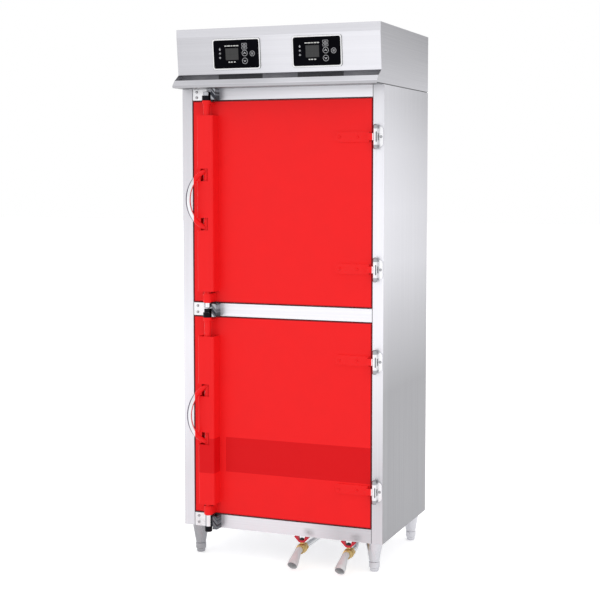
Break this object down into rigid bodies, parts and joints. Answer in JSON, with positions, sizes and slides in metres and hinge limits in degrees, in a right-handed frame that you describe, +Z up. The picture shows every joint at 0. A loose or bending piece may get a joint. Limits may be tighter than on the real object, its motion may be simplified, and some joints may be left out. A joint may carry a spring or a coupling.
{
  "type": "rice steamer cabinet",
  "caption": "Insulated steam cabinet with stacked latch-locked doors, a hood with touch control panels, tray racks, water pans, drain valves and adjustable feet.",
  "frame": {"origin": "on the floor, under the middle of the bounding box", "axes": "+X to the viewer's right facing the doors, +Y from the doors to the back, +Z up"},
  "size_m": [0.7, 0.594, 1.746],
  "materials": {
    "steel": "satin",
    "steel_inner": "satin",
    "steel_dark": "satin",
    "bright_steel": "polished",
    "red_finish": "gloss",
    "lever_red": "gloss",
    "grille_dark": "matte",
    "panel_black": "gloss",
    "nylon_black": "matte",
    "board_green": "satin",
    "switchgear_grey": "matte",
    "seal": "matte",
    "felt": "matte",
    "brass": "satin"
  },
  "bodies": {
    "cabinet": {"back_panel": "steel", "base_plate": "steel", "bottom_rail": "steel", "cable_gland": "nylon_black", "control_boards": "board_green", "drain_pipes": "steel_inner", "drain_spouts": "bright_steel", "drain_valve_bodies": "brass", "feet": "steel", "frame_screws": "bright_steel", "heating_elements": "steel_dark", "hinge_leaves": "bright_steel", "hinge_pins": "bright_steel", "hood_back": "steel", "hood_cheeks": "steel", "hood_floor": "grille_dark", "hood_front": "steel", "hood_ledge": "steel", "hood_lid": "steel", "latch_keepers": "steel_dark", "left_control_panel": "panel_black", "left_side_panel": "steel", "left_stile": "steel", "lower_liner": "steel_inner", "middle_rail": "steel", "rear_covers": "steel", "right_control_panel": "panel_black", "right_side_panel": "steel", "right_stile": "steel", "steam_plates": "steel_inner", "switchgear": "switchgear_grey", "top_rail": "steel", "tray_racks": "steel_inner", "upper_liner": "steel_inner", "vent_grille": "grille_dark", "wall_insulation": "felt", "water_inlet": "brass", "water_pans": "steel_inner"},
    "upper_door": {"upper_door_gasket": "seal", "upper_door_insulation": "felt", "upper_door_pan": "steel", "upper_door_screws": "bright_steel", "upper_door_skin": "red_finish", "upper_hinge_straps": "red_finish", "upper_lock_cover": "red_finish", "upper_rod_guides": "nylon_black"},
    "lower_door": {"lower_door_gasket": "seal", "lower_door_insulation": "felt", "lower_door_pan": "steel", "lower_door_screws": "bright_steel", "lower_door_skin": "red_finish", "lower_hinge_straps": "red_finish", "lower_lock_cover": "red_finish", "lower_rod_guides": "nylon_black"},
    "upper_latch": {"upper_bow_handle": "bright_steel", "upper_lock_rod": "bright_steel"},
    "lower_latch": {"lower_bow_handle": "bright_steel", "lower_lock_rod": "bright_steel"},
    "left_valve": {"left_valve_lever": "lever_red"},
    "right_valve": {"right_valve_lever": "lever_red"}
  },
  "joints": [
    {"name": "upper_door_hinge", "type": "hinge", "parent": "cabinet", "child": "upper_door", "pos_m": [0.326, -0.22195, 1.186], "axis": [0, 0, 1], "range_deg": [0, 120]},
    {"name": "lower_door_hinge", "type": "hinge", "parent": "cabinet", "child": "lower_door", "pos_m": [0.326, -0.22195, 0.478], "axis": [0, 0, 1], "range_deg": [0, 120]},
    {"name": "upper_latch_turn", "type": "hinge", "parent": "upper_door", "child": "upper_latch", "pos_m": [-0.248, -0.23795, 1.186], "axis": [0, 0, 1], "range_deg": [-50, 40]},
    {"name": "lower_latch_turn", "type": "hinge", "parent": "lower_door", "child": "lower_latch", "pos_m": [-0.248, -0.23795, 0.478], "axis": [0, 0, 1], "range_deg": [-50, 40]},
    {"name": "left_valve_turn", "type": "hinge", "parent": "cabinet", "child": "left_valve", "pos_m": [0.07, -0.19595, 0.057], "axis": [0, 0, 1], "range_deg": [0, 90]},
    {"name": "right_valve_turn", "type": "hinge", "parent": "cabinet", "child": "right_valve", "pos_m": [0.232, -0.19595, 0.057], "axis": [0, 0, 1], "range_deg": [0, 90]}
  ]
}
